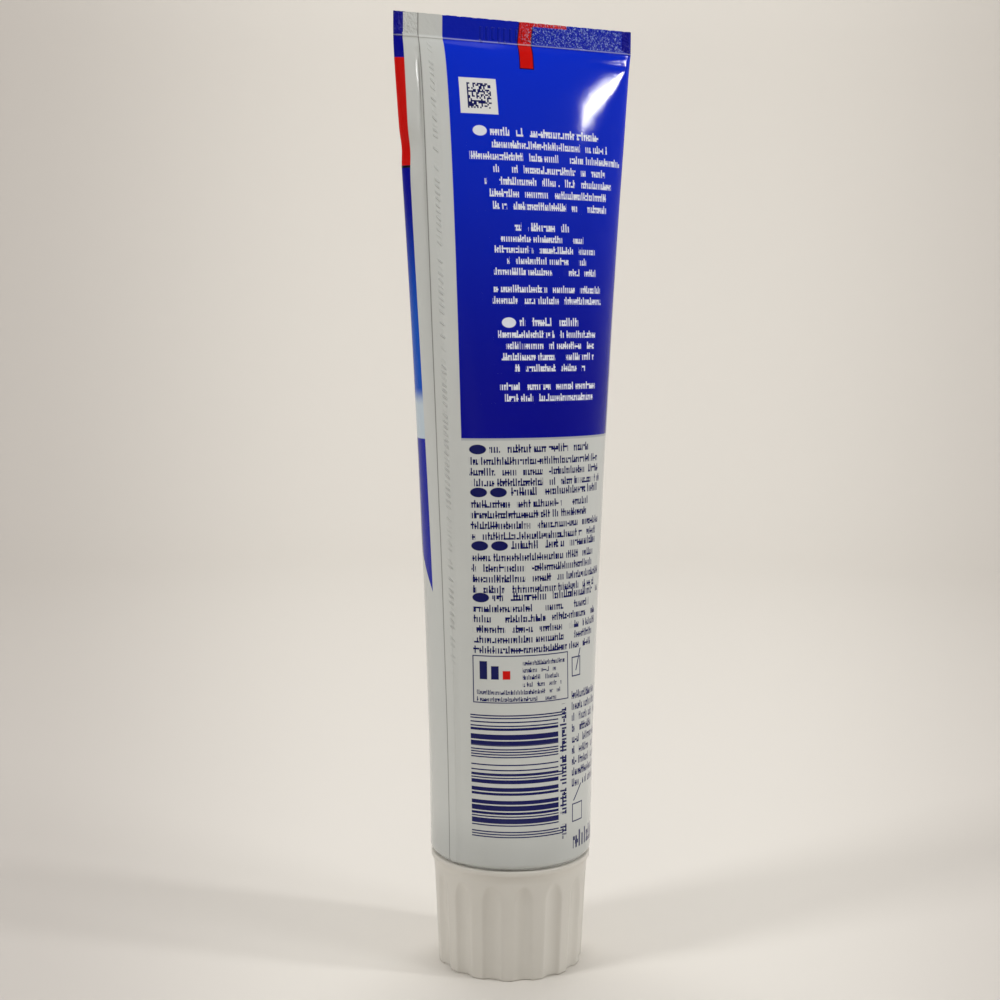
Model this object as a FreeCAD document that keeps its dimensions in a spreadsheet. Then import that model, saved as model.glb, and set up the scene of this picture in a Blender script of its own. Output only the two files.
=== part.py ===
# Toothpaste tube: a laminate sleeve on a moulded shoulder, standing on its fluted screw cap.
# Millimetres. +Z up, origin at the middle of the cap's standing face, the flat crimp along X,
# the back panel and the side seam's outer edge towards -Y, the seam near the -X fold.
import FreeCAD, Part
import math
import os

import Sketcher

SIZES = (
    # the laminate sleeve
    ("tube_radius", 17.5),
    ("laminate", 0.3),
    ("crimp_level", 196.0),
    ("crimp_height", 5.0),
    ("crimp_thickness", 0.7),
    ("crimp_ridge_height", 0.5),
    ("crimp_ridge_rise", 0.15),
    ("flatten_onset", 1.43),
    ("flatten_root", 0.6),
    ("girth_power", 1.7),
    ("seam_edge", 5.4),
    ("seam_overlap", 2.2),
    ("seam_ramp", 1.2),
    ("seam_step", 0.25),
    ("lip_round", 1.35),
    ("lip_reach", 2.9),
    # the moulded shoulder and its nozzle
    ("bond_gap", 0.05),
    ("shoulder_wall", 1.2),
    ("shoulder_skirt", 4.0),
    ("shoulder_drop", 3.0),
    ("neck_radius", 6.1),
    ("neck_reach", 12.0),
    ("orifice_radius", 4.2),
    ("neck_end_round", 0.4),
    # the screw cap
    ("cap_height", 24.5),
    ("cap_gap", 0.3),
    ("rim_inset", 0.2),
    ("rim_wall", 1.7),
    ("rim_band", 1.0),
    ("rim_flare", 1.5),
    ("rim_round", 0.3),
    ("flare_inset", 0.6),
    ("skirt_draft", 1.0),
    ("skirt_wall", 1.9),
    ("base_round", 0.4),
    ("deck", 1.5),
    ("deck_recess", 0.4),
    ("standing_ring", 2.6),
    ("collar_gap", 0.8),
    ("collar_wall", 1.4),
    ("collar_to_shoulder", 1.2),
    ("plug_gap", 0.3),
    ("plug_wall", 0.9),
    ("plug_reach", 2.0),
    ("flute_count", 15),
    ("flute_radius", 3.9),
    ("flute_depth", 0.75),
    ("flute_straight", 16.6),
    ("flute_run_out", 13.0),
    ("flute_sweep_height", 6.4),
    ("cap_turn", 15.0),
    # the paste
    ("fill_gap", 0.1),
    ("head_space", 9.0),
)

# Heights and radii that several pieces share, as expressions in the sheet's own names.
SLEEVE_FOOT = "(Sizes.cap_height + Sizes.cap_gap)"
NECK_END = f"({SLEEVE_FOOT} - Sizes.neck_reach)"
BOND_RADIUS = "(Sizes.tube_radius - Sizes.laminate - Sizes.bond_gap)"
LIP_RADIUS = "(Sizes.tube_radius - Sizes.lip_reach)"
RIM_RADIUS = "(Sizes.tube_radius - Sizes.rim_inset)"
SKIRT_TOP_RADIUS = f"({RIM_RADIUS} - Sizes.flare_inset)"
SKIRT_BASE_RADIUS = f"({SKIRT_TOP_RADIUS} - Sizes.skirt_draft)"
COLLAR_BORE = "(Sizes.neck_radius + Sizes.collar_gap)"
PLUG_RADIUS = "(Sizes.orifice_radius - Sizes.plug_gap)"

doc = FreeCAD.newDocument("ToothpasteTube")
sheet = doc.addObject("Spreadsheet::Sheet", "Sizes")
for row, (name, value) in enumerate(SIZES, start=1):
    sheet.set(f"A{row}", name)
    sheet.set(f"B{row}", str(value))
    sheet.setAlias(f"B{row}", name)
doc.recompute()


def size(name):
    """A driving dimension as a plain number."""
    return float(sheet.get(name))


def origin_item(body, role):
    """The body's own origin plane or axis of this role."""
    return next(item for item in body.Origin.OriginFeatures if item.Role == role)


def sketch_on(body, name, plane):
    """An empty sketch on one of the body's origin planes."""
    sketch = body.newObject("Sketcher::SketchObject", name)
    sketch.AttachmentSupport = [(origin_item(body, plane), "")]
    sketch.MapMode = "FlatFace"
    return sketch


def bind(sketch, kind, name, expression, *geometry):
    """A named dimension of the sketch that follows an expression."""
    index = sketch.addConstraint(Sketcher.Constraint(kind, *geometry))
    sketch.renameConstraint(index, name)
    sketch.setExpression(f"Constraints.{name}", expression)


def place(sketch, name, line, end, across, up):
    """Hold one end of a line at (across, up), each an expression or 0 for the axis."""
    if across == 0:
        sketch.addConstraint(Sketcher.Constraint("PointOnObject", line, end, -2))
    else:
        bind(sketch, "DistanceX", f"{name}_across", across, -1, 1, line, end, 1.0)
    if up == 0:
        sketch.addConstraint(Sketcher.Constraint("PointOnObject", line, end, -1))
    else:
        bind(sketch, "DistanceY", f"{name}_up", up, -1, 1, line, end, 1.0)


def outline(body, name, corners):
    """A closed outline of straight lines in the XZ plane through the named corners."""
    sketch = sketch_on(body, name, "XZ_Plane")
    count = len(corners)
    reach = size("tube_radius")
    start = []
    for index in range(count):
        turn = 2 * math.pi * index / count
        start.append(FreeCAD.Vector(reach - reach * math.cos(turn) / 2, reach * math.sin(turn), 0))
    for index in range(count):
        sketch.addGeometry(Part.LineSegment(start[index], start[(index + 1) % count]), False)
    for index in range(count):
        sketch.addConstraint(Sketcher.Constraint("Coincident", index, 2, (index + 1) % count, 1))
    for index, (corner, across, up) in enumerate(corners):
        place(sketch, corner, index, 1, across, up)
    doc.recompute()
    return sketch


def revolve(body, name, profile):
    """The profile turned once round the tube's axis."""
    turned = body.newObject("PartDesign::Revolution", name)
    turned.Profile = profile
    turned.ReferenceAxis = (profile, ["V_Axis"])
    turned.Angle = 360
    doc.recompute()
    return turned


def ring_edges(feature, rings):
    """Names of the feature's circular edges at these (radius, height) pairs."""
    found = []
    for index, edge in enumerate(feature.Shape.Edges, start=1):
        if not isinstance(edge.Curve, Part.Circle):
            continue
        for radius, height in rings:
            same_radius = abs(edge.Curve.Radius - radius) < 1e-4
            if same_radius and abs(edge.Curve.Center.z - height) < 1e-4:
                found.append(f"Edge{index}")
    return found


def round_rings(body, name, feature, rings, radius):
    """Round the circular edges at these rings by a radius given as an expression."""
    fillet = body.newObject("PartDesign::Fillet", name)
    fillet.Base = (feature, ring_edges(feature, rings))
    fillet.setExpression("Radius", radius)
    doc.recompute()
    return fillet


def build_screw_cap():
    """One moulding: fluted skirt, flat deck, threaded collar's wall and plug ring."""
    body = doc.addObject("PartDesign::Body", "ScrewCap")
    body.Label = "screw_cap"
    deck_top = "(Sizes.deck + Sizes.deck_recess)"
    recess = f"({SKIRT_BASE_RADIUS} - Sizes.standing_ring)"
    flare_foot = "(Sizes.cap_height - Sizes.rim_band - Sizes.rim_flare)"
    collar_outer = f"({COLLAR_BORE} + Sizes.collar_wall)"
    collar_top = f"({SLEEVE_FOOT} - Sizes.shoulder_drop - Sizes.collar_to_shoulder)"
    plug_inner = f"({PLUG_RADIUS} - Sizes.plug_wall)"
    plug_top = f"({NECK_END} + Sizes.plug_reach)"
    profile = outline(body, "CapProfile", (
        ("recess_middle", 0, "Sizes.deck_recess"),
        ("recess_edge", recess, "Sizes.deck_recess"),
        ("ring_inside", recess, 0),
        ("ring_outside", SKIRT_BASE_RADIUS, 0),
        ("flare_foot", SKIRT_TOP_RADIUS, flare_foot),
        ("rim_foot", RIM_RADIUS, "Sizes.cap_height - Sizes.rim_band"),
        ("rim_top", RIM_RADIUS, "Sizes.cap_height"),
        ("rim_inside", f"{RIM_RADIUS} - Sizes.rim_wall", "Sizes.cap_height"),
        ("skirt_inside_top", f"{SKIRT_TOP_RADIUS} - Sizes.skirt_wall", flare_foot),
        ("skirt_inside_foot", f"{SKIRT_BASE_RADIUS} - Sizes.skirt_wall", deck_top),
        ("collar_foot", collar_outer, deck_top),
        ("collar_top_outside", collar_outer, collar_top),
        ("collar_top_inside", COLLAR_BORE, collar_top),
        ("collar_bore_foot", COLLAR_BORE, deck_top),
        ("plug_foot", PLUG_RADIUS, deck_top),
        ("plug_top_outside", PLUG_RADIUS, plug_top),
        ("plug_top_inside", plug_inner, plug_top),
        ("plug_inside_foot", plug_inner, deck_top),
        ("deck_middle", 0, deck_top),
    ))
    turned = revolve(body, "CapTurned", profile)
    rim = size("tube_radius") - size("rim_inset")
    skirt_top = rim - size("flare_inset")
    base_ring = [(skirt_top - size("skirt_draft"), 0.0)]
    body_tip = round_rings(body, "BaseRound", turned, base_ring, "Sizes.base_round")
    rim_level = size("cap_height")
    rim_rings = [
        (rim, rim_level),
        (rim, rim_level - size("rim_band")),
        (rim - size("rim_wall"), rim_level),
    ]
    limit = "min(Sizes.rim_round; 0.4 * Sizes.rim_wall; 0.4 * Sizes.rim_band)"
    body_tip = round_rings(body, "RimRound", body_tip, rim_rings, limit)
    flare_ring = [(skirt_top, rim_level - size("rim_band") - size("rim_flare"))]
    body_tip = round_rings(body, "FlareRound", body_tip, flare_ring, "Sizes.rim_flare")
    cut_flutes(body)
    body.Placement.Rotation = FreeCAD.Rotation(FreeCAD.Vector(0, 0, 1), size("cap_turn"))
    body.setExpression("Placement.Rotation.Angle", "Sizes.cap_turn")
    doc.recompute()
    return body


def cut_flutes(body):
    """Scoops down the skirt: a round tool that follows the draft and swings out at the top."""
    skirt_height = "(Sizes.cap_height - Sizes.rim_band - Sizes.rim_flare)"
    standoff = "(Sizes.flute_radius - Sizes.flute_depth)"
    foot = f"{SKIRT_BASE_RADIUS} + {standoff}"
    bend = f"{foot} + Sizes.skirt_draft * Sizes.flute_straight / {skirt_height}"

    base = size("tube_radius") - size("rim_inset") - size("flare_inset") - size("skirt_draft")
    foot_at = base + size("flute_radius") - size("flute_depth")
    bend_level = size("flute_straight")
    swing = size("flute_run_out")
    path = sketch_on(body, "FlutePath", "XZ_Plane")
    bend_at = FreeCAD.Vector(foot_at + size("skirt_draft"), bend_level, 0)
    path.addGeometry(Part.LineSegment(FreeCAD.Vector(foot_at, 0, 0), bend_at), False)
    circle = Part.Circle(FreeCAD.Vector(bend_at.x + swing, bend_level, 0),
                         FreeCAD.Vector(0, 0, 1), swing)
    path.addGeometry(Part.ArcOfCircle(circle, math.radians(150), math.radians(178)), False)
    place(path, "foot", 0, 1, foot, 0)
    place(path, "bend", 0, 2, bend, "Sizes.flute_straight")
    path.addConstraint(Sketcher.Constraint("Tangent", 0, 2, 1, 2))
    bind(path, "Radius", "swing", "Sizes.flute_run_out", 1, swing)
    bind(path, "DistanceY", "swing_height", "Sizes.flute_straight + Sizes.flute_sweep_height",
         -1, 1, 1, 1, bend_level + size("flute_sweep_height"))

    tool = sketch_on(body, "FluteTool", "XY_Plane")
    radius = size("flute_radius")
    tool.addGeometry(Part.Circle(FreeCAD.Vector(foot_at, 0, 0), FreeCAD.Vector(0, 0, 1), radius))
    tool.addConstraint(Sketcher.Constraint("PointOnObject", 0, 3, -1))
    bind(tool, "DistanceX", "centre", foot, -1, 1, 0, 3, foot_at)
    bind(tool, "Radius", "scoop", "Sizes.flute_radius", 0, radius)
    doc.recompute()

    flute = body.newObject("PartDesign::SubtractivePipe", "Flute")
    flute.Profile = tool
    flute.Spine = path
    doc.recompute()
    flutes = body.newObject("PartDesign::PolarPattern", "Flutes")
    flutes.Originals = [flute]
    flutes.Axis = (origin_item(body, "Z_Axis"), [""])
    flutes.Angle = 360
    flutes.setExpression("Occurrences", "Sizes.flute_count")
    body.Tip = flutes
    doc.recompute()


def build_shoulder():
    """One moulding: skirt bonded in the sleeve, sloping shoulder, neck and orifice."""
    body = doc.addObject("PartDesign::Body", "ShoulderNozzle")
    body.Label = "shoulder_nozzle"
    wall = "Sizes.shoulder_wall"
    seat = f"({SLEEVE_FOOT} + Sizes.laminate + Sizes.bond_gap)"
    step = f"({LIP_RADIUS} - Sizes.bond_gap)"
    skirt_top = f"{SLEEVE_FOOT} + Sizes.shoulder_skirt"
    slope_foot = f"{SLEEVE_FOOT} - Sizes.shoulder_drop"
    profile = outline(body, "ShoulderProfile", (
        ("orifice", "Sizes.orifice_radius", NECK_END),
        ("neck_end", "Sizes.neck_radius", NECK_END),
        ("neck_root", "Sizes.neck_radius", slope_foot),
        ("slope_top", step, SLEEVE_FOOT),
        ("lip_step", step, seat),
        ("bond_foot", BOND_RADIUS, seat),
        ("bond_top", BOND_RADIUS, skirt_top),
        ("skirt_top", f"{BOND_RADIUS} - {wall}", skirt_top),
        ("skirt_foot", f"{BOND_RADIUS} - {wall}", f"{seat} + {wall}"),
        ("slope_inside", f"{step} - {wall}", f"{seat} + {wall}"),
        ("throat", "Sizes.orifice_radius", f"{slope_foot} + {wall}"),
    ))
    turned = revolve(body, "ShoulderTurned", profile)
    seat_level = size("cap_height") + size("cap_gap") + size("laminate") + size("bond_gap")
    bond_radius = size("tube_radius") - size("laminate") - size("bond_gap")
    bevel = body.newObject("PartDesign::Chamfer", "BondBevel")
    bevel.Base = (turned, ring_edges(turned, [(bond_radius, seat_level)]))
    bevel.setExpression("Size", "Sizes.lip_round - Sizes.laminate - Sizes.bond_gap")
    doc.recompute()
    neck_level = size("cap_height") + size("cap_gap") - size("neck_reach")
    neck_rings = [(size("neck_radius"), neck_level), (size("orifice_radius"), neck_level)]
    limit = "min(Sizes.neck_end_round; 0.4 * (Sizes.neck_radius - Sizes.orifice_radius))"
    body.Tip = round_rings(body, "NeckRound", bevel, neck_rings, limit)
    doc.recompute()
    return body


def flattening():
    """Shares of the sleeve's height at which its oval is drawn, closer near the crimp."""
    steps = 10
    return [math.sin(math.pi / 2 * index / steps) ** 1.25 for index in range(steps + 1)]


def oval(share, inset):
    """Half width and half depth of the sleeve's oval, kept at one girth as it flattens."""
    radius = size("tube_radius")
    flat = size("crimp_thickness") / 2
    open_share = (1 - share ** size("flatten_onset")) ** size("flatten_root")
    depth = flat + (radius - flat) * open_share
    flat_width = math.pi / 2 * radius
    width = flat_width - (flat_width - radius) * (depth / radius) ** size("girth_power")
    return max(width, depth) - inset, depth - inset


def sleeve_height(share):
    """Height of the oval at this share of the way from the foot to the crimp."""
    foot = size("cap_height") + size("cap_gap") + size("lip_round")
    return foot + share * (size("crimp_level") - foot)


def oval_wire(height, half_width, half_depth):
    """A plain oval at this height."""
    centre = FreeCAD.Vector(0, 0, height)
    return Part.Wire([Part.Ellipse(centre, half_width, half_depth).toShape()])


def seamed_wire(height, half_width, half_depth):
    """The oval with the outer ply's edge as a step, and a ramp where the inner ply ends."""
    centre = FreeCAD.Vector(0, 0, height)
    rise = size("seam_step")
    skin = Part.Ellipse(centre, half_width, half_depth)
    raised = Part.Ellipse(centre, half_width + rise, half_depth + rise)
    fold = math.pi
    edge = skin.parameterAtDistance(size("seam_edge"), fold)
    weld = skin.parameterAtDistance(size("seam_edge") + size("seam_overlap"), fold)
    ramp_reach = size("seam_edge") + size("seam_overlap") + size("seam_ramp")
    ramp = skin.parameterAtDistance(ramp_reach, fold)
    return Part.Wire([
        Part.ArcOfEllipse(raised, edge, weld).toShape(),
        Part.makeLine(raised.value(weld), skin.value(ramp)),
        Part.ArcOfEllipse(skin, ramp, edge + 2 * math.pi).toShape(),
        Part.makeLine(skin.value(edge), raised.value(edge)),
    ])


def sleeve_foot_ring():
    """The sleeve's foot, rolled in over the shoulder's edge, as a turned strip."""
    foot = size("cap_height") + size("cap_gap")
    radius = size("tube_radius")
    wall = size("laminate")
    bend = size("lip_round")
    lip = radius - size("lip_reach")

    def at(across, up):
        return FreeCAD.Vector(across, 0, foot + up)

    def corner(bend_radius):
        slant = bend_radius * math.sqrt(0.5)
        return Part.Arc(at(radius - bend, bend - bend_radius),
                        at(radius - bend + slant, bend - slant),
                        at(radius - bend + bend_radius, bend)).toShape()

    strip = Part.Wire([
        Part.makeLine(at(lip, 0), at(radius - bend, 0)),
        corner(bend),
        Part.makeLine(at(radius, bend), at(radius - wall, bend)),
        corner(bend - wall),
        Part.makeLine(at(radius - bend, wall), at(lip, wall)),
        Part.makeLine(at(lip, wall), at(lip, 0)),
    ])
    axis = FreeCAD.Vector(0, 0, 1)
    return Part.Face(strip).revolve(FreeCAD.Vector(0, 0, 0), axis, 360)


def crimp():
    """The heat-sealed end: a flat strip, a raised bar at its foot, and the seam across it."""
    half_width = math.pi / 2 * size("tube_radius")
    level = size("crimp_level")
    thick = size("crimp_thickness")
    rise = size("crimp_ridge_rise")
    corner = FreeCAD.Vector(-half_width, -thick / 2, level)
    strip = Part.makeBox(2 * half_width, thick, size("crimp_height"), corner)
    bar_corner = FreeCAD.Vector(-half_width, -thick / 2 - rise, level)
    bar = Part.makeBox(2 * half_width, thick + 2 * rise, size("crimp_ridge_height"), bar_corner)
    seam_corner = FreeCAD.Vector(size("seam_edge") - half_width, -thick / 2 - size("seam_step"), level)
    seam = Part.makeBox(size("seam_overlap"), size("seam_step") + thick / 2,
                        size("crimp_height"), seam_corner)
    return strip.fuse([bar, seam])


def build_sleeve():
    """The printed laminate tube: one wall, lofted from a circle to the flat crimp."""
    outer = []
    inner = []
    for share in flattening():
        outer.append(seamed_wire(sleeve_height(share), *oval(share, 0)))
        half_width, half_depth = oval(share, size("laminate"))
        if half_depth > size("laminate"):
            inner.append(oval_wire(sleeve_height(share), half_width, half_depth))
    wall = Part.makeLoft(outer, True, False).cut(Part.makeLoft(inner, True, False))
    sleeve = doc.addObject("Part::Feature", "TubeSleeve")
    sleeve.Label = "tube_sleeve"
    sleeve.Shape = wall.fuse([sleeve_foot_ring(), crimp()]).removeSplitter()
    return sleeve


def build_toothpaste():
    """The paste: it fills the sleeve, the shoulder and the orifice down to the plug."""
    inset = size("laminate") + size("fill_gap")
    gap = size("fill_gap")
    foot = size("cap_height") + size("cap_gap")
    wall = size("shoulder_wall")
    skirt_radius = size("tube_radius") - size("laminate") - size("bond_gap") - wall - gap
    skirt_top = foot + size("shoulder_skirt") + gap
    top = size("crimp_level") - size("head_space")
    start = sleeve_height(0)
    steps = 6
    rise = (top - skirt_top) / steps
    ovals = []
    for index in range(steps + 1):
        height = skirt_top + rise * index
        share = (height - start) / (size("crimp_level") - start)
        ovals.append(oval_wire(height, *oval(share, inset)))
    column = Part.makeLoft(ovals, True, False)

    seat = foot + size("laminate") + size("bond_gap") + wall + gap
    step = size("tube_radius") - size("lip_reach") - size("bond_gap") - wall
    bore = size("orifice_radius") - gap
    plug_end = foot - size("neck_reach") + size("plug_reach") + gap
    throat = foot - size("shoulder_drop") + wall + gap

    def at(across, up):
        return FreeCAD.Vector(across, 0, up)

    core = Part.makePolygon([
        at(0, plug_end), at(bore, plug_end), at(bore, throat), at(step, seat),
        at(skirt_radius, seat), at(skirt_radius, skirt_top), at(0, skirt_top), at(0, plug_end),
    ])
    core = Part.Face(core).revolve(FreeCAD.Vector(0, 0, 0), FreeCAD.Vector(0, 0, 1), 360)
    paste = doc.addObject("Part::Feature", "Toothpaste")
    paste.Label = "toothpaste"
    paste.Shape = column.fuse(core).removeSplitter()
    return paste


def check(pieces):
    """Stop on any failed object, and on a piece that isn't one valid solid."""
    for item in doc.Objects:
        if "Invalid" in item.State or "Error" in item.State:
            raise RuntimeError(f"{item.Label} failed to build: {item.State}")
    for piece in pieces:
        shape = piece.Shape
        if shape.isNull() or not shape.isValid() or len(shape.Solids) != 1:
            raise RuntimeError(f"{piece.Label} isn't one valid solid")


pieces = [build_screw_cap(), build_shoulder(), build_sleeve(), build_toothpaste()]
doc.recompute()
check(pieces)
os.makedirs("parts", exist_ok=True)
for piece in pieces:
    piece.Shape.exportStep(f"parts/{piece.Label}.step")
    box = piece.Shape.BoundBox
    print(f"{piece.Label}: {piece.Shape.Volume / 1000:.2f} ml,"
          f" {box.XLength:.1f} x {box.YLength:.1f} x {box.ZLength:.1f} mm")
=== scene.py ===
import math

import bmesh
import bpy
import numpy as np
from mathutils import Matrix, Vector


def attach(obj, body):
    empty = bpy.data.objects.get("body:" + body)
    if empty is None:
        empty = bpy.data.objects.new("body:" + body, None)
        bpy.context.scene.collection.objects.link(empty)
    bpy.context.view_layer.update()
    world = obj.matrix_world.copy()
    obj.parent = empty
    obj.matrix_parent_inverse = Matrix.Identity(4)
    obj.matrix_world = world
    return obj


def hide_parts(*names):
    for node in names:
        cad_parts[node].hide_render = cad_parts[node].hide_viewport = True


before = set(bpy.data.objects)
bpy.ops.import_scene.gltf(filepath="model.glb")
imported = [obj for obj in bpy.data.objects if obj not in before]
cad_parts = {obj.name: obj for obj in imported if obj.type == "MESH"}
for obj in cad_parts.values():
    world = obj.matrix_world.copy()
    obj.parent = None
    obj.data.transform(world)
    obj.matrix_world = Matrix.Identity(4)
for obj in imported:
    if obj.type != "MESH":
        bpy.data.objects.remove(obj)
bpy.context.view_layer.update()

MM = 0.001

# The sleeve's own sizes, in millimetres, as the solids have them.
RADIUS = 17.5
GIRTH = 2 * math.pi * RADIUS
FOOT = 24.8
FOOT_BEND = 1.35
LIP_REACH = 2.9
CRIMP_LEVEL = 196.0
TOP = 201.0
CRIMP_HALF = 0.35
FLATTEN_ONSET = 1.43
FLATTEN_ROOT = 0.6
GIRTH_POWER = 1.7
LAMINATE = 0.28
SEAM_EDGE = 5.4
SEAM_OVERLAP = 2.2
SEAM_RAMP = 1.4
SEAM_STEP = 0.24

# How finely the sleeve is meshed, and how far its columns crowd towards the folds.
COLUMNS = 230
BEND_ROWS = 6
WALL_ROWS = 160
CRIMP_ROWS = 24
CRIMP_SPREAD = 1.7
CROWDING = 0.65

# Dents in the sleeve: depth, place round the girth, half width, level and half height.
LEFT_DENT = (0.85, 2.4, 2.3, 173.5, 3.2)
RIGHT_DENT = (0.3, GIRTH - 1.0, 2.0, 174.0, 2.6)
DIMPLE = (0.2, 5.0, 0.6, 193.2, 0.7)

# The buckle in the back's upper right corner: its middle, its height, and how its line leans,
# in radians; and how far the cut top edge is down, and how uneven it is.
BUCKLE_RISE = 0.27
BUCKLE_GIRTH = 53.3
BUCKLE_LEVEL = 190.9
BUCKLE_LEAN = 1.074
CUT_DROP = 0.07
CUT_RAGGED = 0.06

# The cap's own sizes, in millimetres, as the solids have them.
CAP_HEIGHT = 24.5
RIM_RADIUS = 17.3
RIM_WALL = 1.7
RIM_BAND = 1.0
RIM_FLARE = 1.5
RIM_ROUND = 0.3
SKIRT_TOP = 16.7
SKIRT_BASE = 15.7
SKIRT_WALL = 1.9
FLARE_FOOT = CAP_HEIGHT - RIM_BAND - RIM_FLARE
FLARE_BLEND = 0.6
SKIRT_SLOPE = (SKIRT_TOP - SKIRT_BASE) / FLARE_FOOT
BASE_ROUND = 0.4
CHAMFER = 0.3
DECK_RECESS = 0.4
DECK_TOP = 1.9
STANDING_RING = 2.6
NECK_RADIUS = 6.1
NECK_END = 12.8
COLLAR_BORE = 6.9
COLLAR_WALL = 1.4
COLLAR_TOP = 20.6
PLUG_RADIUS = 3.9
PLUG_WALL = 0.9
PLUG_TOP = 14.8
FLUTES = 15
FLUTE_RADIUS = 3.9
FLUTE_DEPTH = 0.75
FLUTE_STRAIGHT = 16.6
FLUTE_RUN_OUT = 13.0
FLUTE_BLEND = 0.04
CAP_TURN = 15.0
STEPS_PER_FLUTE = 22
SKIRT_ROWS = 46
FLARE_ROWS = 10
ROUND_ROWS = 4

# The photograph's viewpoint: degrees and millimetres, and the aim in radians off the axis.
CAMERA_AZIMUTH = -25.48
CAMERA_DISTANCE = 345.1
CAMERA_HEIGHT = 138.8
CAMERA_PITCH = 6.26
CAMERA_ROLL = 0.32
CAMERA_AIM = 0.0078
FOCAL_PIXELS = 1618.0
FRAME_PIXELS = 1000.0
SENSOR = 36.0

# The studio, in metres.
FLOOR_RADIUS = 0.6
FLOOR_BEND = 0.35
WALL_TOP = 1.5
TUBE_MIDDLE = (0.0, 0.0, 0.11)
WALL_BEHIND = (0.34, 0.78, 0.45)

# Vertices closer than this, in metres, are one.
WELD = 0.00001


def smooth(low, high, value):
    """0 below low, 1 above high and a smooth rise between, for numbers and arrays."""
    share = np.clip((value - low) / (high - low), 0.0, 1.0)
    return share * share * (3.0 - 2.0 * share)


def swell(value, centre, width):
    """1 at the centre, falling off to both sides as a bell, for numbers and arrays."""
    return np.exp(-((value - centre) / width) ** 2)


def quarter(rows):
    """Pairs of sine and cosine through a quarter turn, both ends included."""
    turns = [math.pi / 2 * step / rows for step in range(rows + 1)]
    return [(math.sin(turn), math.cos(turn)) for turn in turns]


def spun(line, steps):
    """A section, as (radius, height) in metres, spun once round the tube's axis."""
    solid = bmesh.new()
    verts = [solid.verts.new((away, 0.0, up)) for away, up in line]
    edges = [solid.edges.new(pair) for pair in zip(verts, verts[1:])]
    bmesh.ops.spin(solid, geom=verts + edges, cent=(0, 0, 0), axis=(0, 0, 1), dvec=(0, 0, 0),
                   angle=2 * math.pi, steps=steps, use_merge=True, use_duplicate=False)
    bmesh.ops.remove_doubles(solid, verts=solid.verts, dist=WELD)
    bmesh.ops.recalc_face_normals(solid, faces=solid.faces)
    return solid


def in_metres(line):
    """A section in millimetres, turned to metres."""
    return [(away * MM, up * MM) for away, up in line]


def show(solid, name, material):
    """Turn a bmesh into a smooth-shaded object."""
    mesh = bpy.data.meshes.new(name)
    solid.to_mesh(mesh)
    solid.free()
    for face in mesh.polygons:
        face.use_smooth = True
    mesh.materials.append(material)
    shown = bpy.data.objects.new(name, mesh)
    bpy.context.scene.collection.objects.link(shown)
    return shown


def keep(solid, name, body, material, *nodes):
    """Turn a bmesh into a piece that rides on a body and stands for nodes."""
    piece = show(solid, name, material)
    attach(piece, body)
    if nodes:
        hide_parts(*nodes)
    return piece


# Shader maths

class Value:
    """A number put out by a node; its arithmetic adds Math nodes."""

    def __init__(self, finish, socket):
        self.finish = finish
        self.socket = socket

    def maths(self, operation, *others):
        """One Math node with this value first."""
        node = self.finish.node("ShaderNodeMath", {"operation": operation},
                                {0: self, **dict(enumerate(others, start=1))})
        return Value(self.finish, node.outputs[0])

    def __add__(self, other):
        return self.maths("ADD", other)

    __radd__ = __add__

    def __mul__(self, other):
        return self.maths("MULTIPLY", other)

    __rmul__ = __mul__

    def __sub__(self, other):
        return self.maths("SUBTRACT", other)

    def __rsub__(self, other):
        return (self * -1.0) + other

    def __truediv__(self, other):
        return self.maths("DIVIDE", other)

    def __or__(self, other):
        return self.maths("MAXIMUM", other)

    def __and__(self, other):
        return self.maths("MINIMUM", other)

    def ramp(self, start, end):
        """0 at start, 1 at end and held beyond both, with a smooth rise."""
        node = self.finish.node("ShaderNodeMapRange",
                                {"interpolation_type": "SMOOTHSTEP", "clamp": False},
                                {"Value": self, "From Min": start, "From Max": end})
        return Value(self.finish, node.outputs["Result"])

    def past(self, edge, soft):
        """0 below the edge and 1 above it, over a soft width."""
        return self.ramp(edge - soft / 2, edge + soft / 2)

    def short_of(self, edge, soft):
        """1 below the edge and 0 above it, over a soft width."""
        return self.ramp(edge + soft / 2, edge - soft / 2)

    def within(self, low, high, soft):
        """1 between two edges, with soft sides."""
        return self.past(low, soft) & self.short_of(high, soft)


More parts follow.
